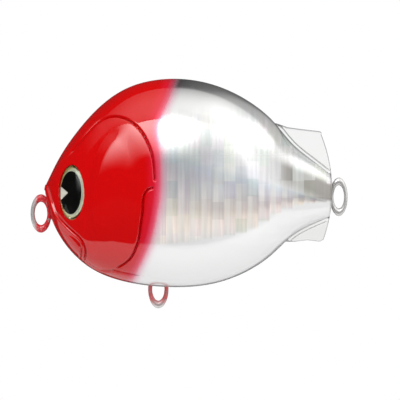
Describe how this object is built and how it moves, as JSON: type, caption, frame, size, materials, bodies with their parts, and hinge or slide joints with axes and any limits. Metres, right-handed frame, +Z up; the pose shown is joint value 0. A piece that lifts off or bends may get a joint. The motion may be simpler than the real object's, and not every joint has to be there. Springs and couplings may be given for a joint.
{
  "type": "topwater popper lure",
  "caption": "Compact topwater popper lure: deep rounded hollow body with a cupped face, sculpted head, clear tail fin, oval wire hangers, and inner weights that slide.",
  "frame": {"origin": "centre of the line tie, the wire loop on the nose", "axes": "+Z up as the lure swims, -X out of the nose, +X out of the tail, Y across; the left flank is at -Y"},
  "size_m": [0.0494, 0.022, 0.0358],
  "materials": {
    "shell_left": "injection-moulded shell, mirror foil effect, sprayed red head and pink fringe under a thick clear coat",
    "shell_right": "as the left shell",
    "fin": "clear polycarbonate plate, polished",
    "flank_foil": "embossed holographic foil",
    "eye_foil": "olive gold foil disc",
    "pupil": "gloss black print",
    "lens": "clear domed resin",
    "wire": "bright drawn stainless wire, paint overspray near the body",
    "ballast": "ball-bearing steel",
    "tube": "clear moulded tube",
    "magnet": "nickel-plated magnet",
    "cast_weight": "polished steel ball",
    "drum": "moulded rattle drum",
    "rattle_ball": "brass ball"
  },
  "bodies": {
    "lure": {"belly_ballast": "ballast", "belly_hanger": "wire", "body_shell_left": "shell_left", "body_shell_right": "shell_right", "cast_magnet": "magnet", "cast_tube": "tube", "eye_foil_left": "eye_foil", "eye_foil_right": "eye_foil", "eye_lens_left": "lens", "eye_lens_right": "lens", "eye_pupil_left": "pupil", "eye_pupil_right": "pupil", "flank_foil_left": "flank_foil", "flank_foil_right": "flank_foil", "line_tie": "wire", "rattle_drum": "drum", "rattle_lid_left": "drum", "rattle_lid_right": "drum", "tail_ballast": "ballast", "tail_fin": "fin", "tail_hanger": "wire"},
    "cast_weight": {"cast_ball": "cast_weight"},
    "rattle_left": {"rattle_ball_left": "rattle_ball"},
    "rattle_right": {"rattle_ball_right": "rattle_ball"}
  },
  "joints": [
    {"name": "cast_slide", "type": "slide", "parent": "lure", "child": "cast_weight", "axis": [1, 0, 0], "range_m": [0, 0.0105]},
    {"name": "rattle_left_slide", "type": "slide", "parent": "lure", "child": "rattle_left", "axis": [0, 1, 0], "range_m": [-0.00065, 0.00065]},
    {"name": "rattle_right_slide", "type": "slide", "parent": "lure", "child": "rattle_right", "axis": [0, 1, 0], "range_m": [-0.00065, 0.00065]}
  ]
}
